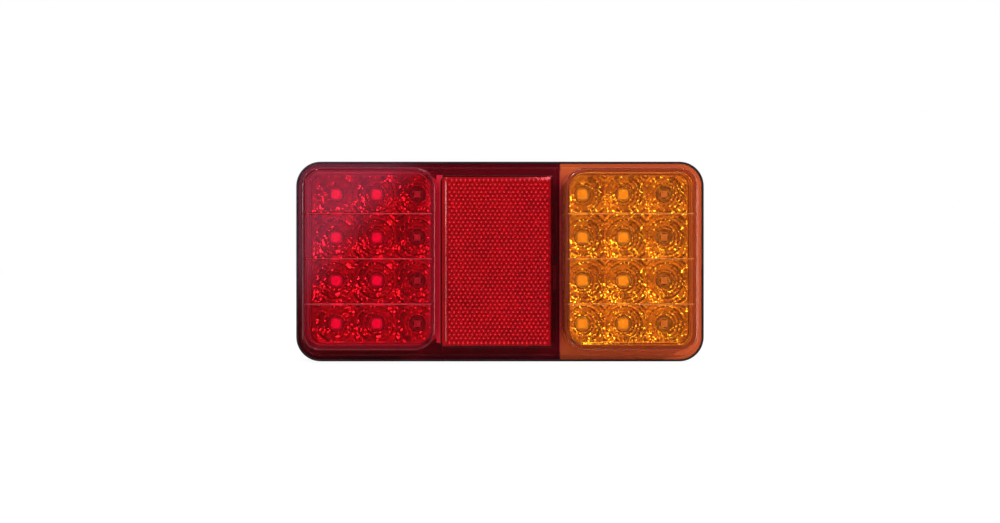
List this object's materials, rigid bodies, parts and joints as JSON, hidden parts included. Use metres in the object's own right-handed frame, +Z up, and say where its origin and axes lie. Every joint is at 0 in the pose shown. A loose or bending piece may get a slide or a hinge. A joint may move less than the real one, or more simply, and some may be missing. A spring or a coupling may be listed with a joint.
{
  "type": "rear combination lamp",
  "caption": "Rectangular rear combination lamp for a trailer: red stop and tail section, reflex reflector and amber indicator over emitter boards in a black housing.",
  "frame": {"origin": "centre of the flat mounting face at the back of the housing", "axes": "+X to the right as seen from the front of the lens, +Z up, -Y out of the lens; the mounting face lies in the plane Y = 0"},
  "size_m": [0.2, 0.05, 0.098],
  "materials": {
    "black_housing": "moulded ABS, satin",
    "red_lens": "clear red acrylic, polished",
    "amber_lens": "clear amber acrylic, polished",
    "reflex_red": "red acrylic with corner cubes on its back",
    "grey_plastic": "plain moulded plate",
    "bright_reflector": "vacuum-metallised plastic",
    "circuit_board": "white solder mask",
    "red_emitter": "resin window in a white body",
    "amber_emitter": "resin window in a white body",
    "black_component": "moulded epoxy",
    "black_rubber": "moulded rubber",
    "lead_sheath": "PVC insulation",
    "plated_steel": "zinc plated"
  },
  "bodies": {
    "root": {"base_housing": "black_housing", "red_lens": "red_lens", "amber_lens": "amber_lens", "reflex_reflector": "reflex_red", "reflex_backing_plate": "grey_plastic", "red_reflector_bowls": "bright_reflector", "amber_reflector_bowls": "bright_reflector", "red_led_board": "circuit_board", "amber_led_board": "circuit_board", "board_screws": "plated_steel", "red_diode": "black_component", "amber_diode": "black_component", "earth_link_lead": "lead_sheath", "mounting_studs": "plated_steel", "stud_seals": "black_rubber", "cable_grommet": "black_rubber", "red_led_1": "red_emitter", "red_led_2": "red_emitter", "red_led_3": "red_emitter", "red_led_4": "red_emitter", "red_led_5": "red_emitter", "red_led_6": "red_emitter", "red_led_7": "red_emitter", "red_led_8": "red_emitter", "red_led_9": "red_emitter", "red_led_10": "red_emitter", "red_led_11": "red_emitter", "red_led_12": "red_emitter", "amber_led_1": "amber_emitter", "amber_led_2": "amber_emitter", "amber_led_3": "amber_emitter", "amber_led_4": "amber_emitter", "amber_led_5": "amber_emitter", "amber_led_6": "amber_emitter", "amber_led_7": "amber_emitter", "amber_led_8": "amber_emitter", "amber_led_9": "amber_emitter", "amber_led_10": "amber_emitter", "amber_led_11": "amber_emitter", "amber_led_12": "amber_emitter", "red_resistor_1": "black_component", "red_resistor_2": "black_component", "red_resistor_3": "black_component", "red_resistor_4": "black_component", "amber_resistor_1": "black_component", "amber_resistor_2": "black_component", "amber_resistor_3": "black_component", "amber_resistor_4": "black_component"}
  },
  "joints": []
}
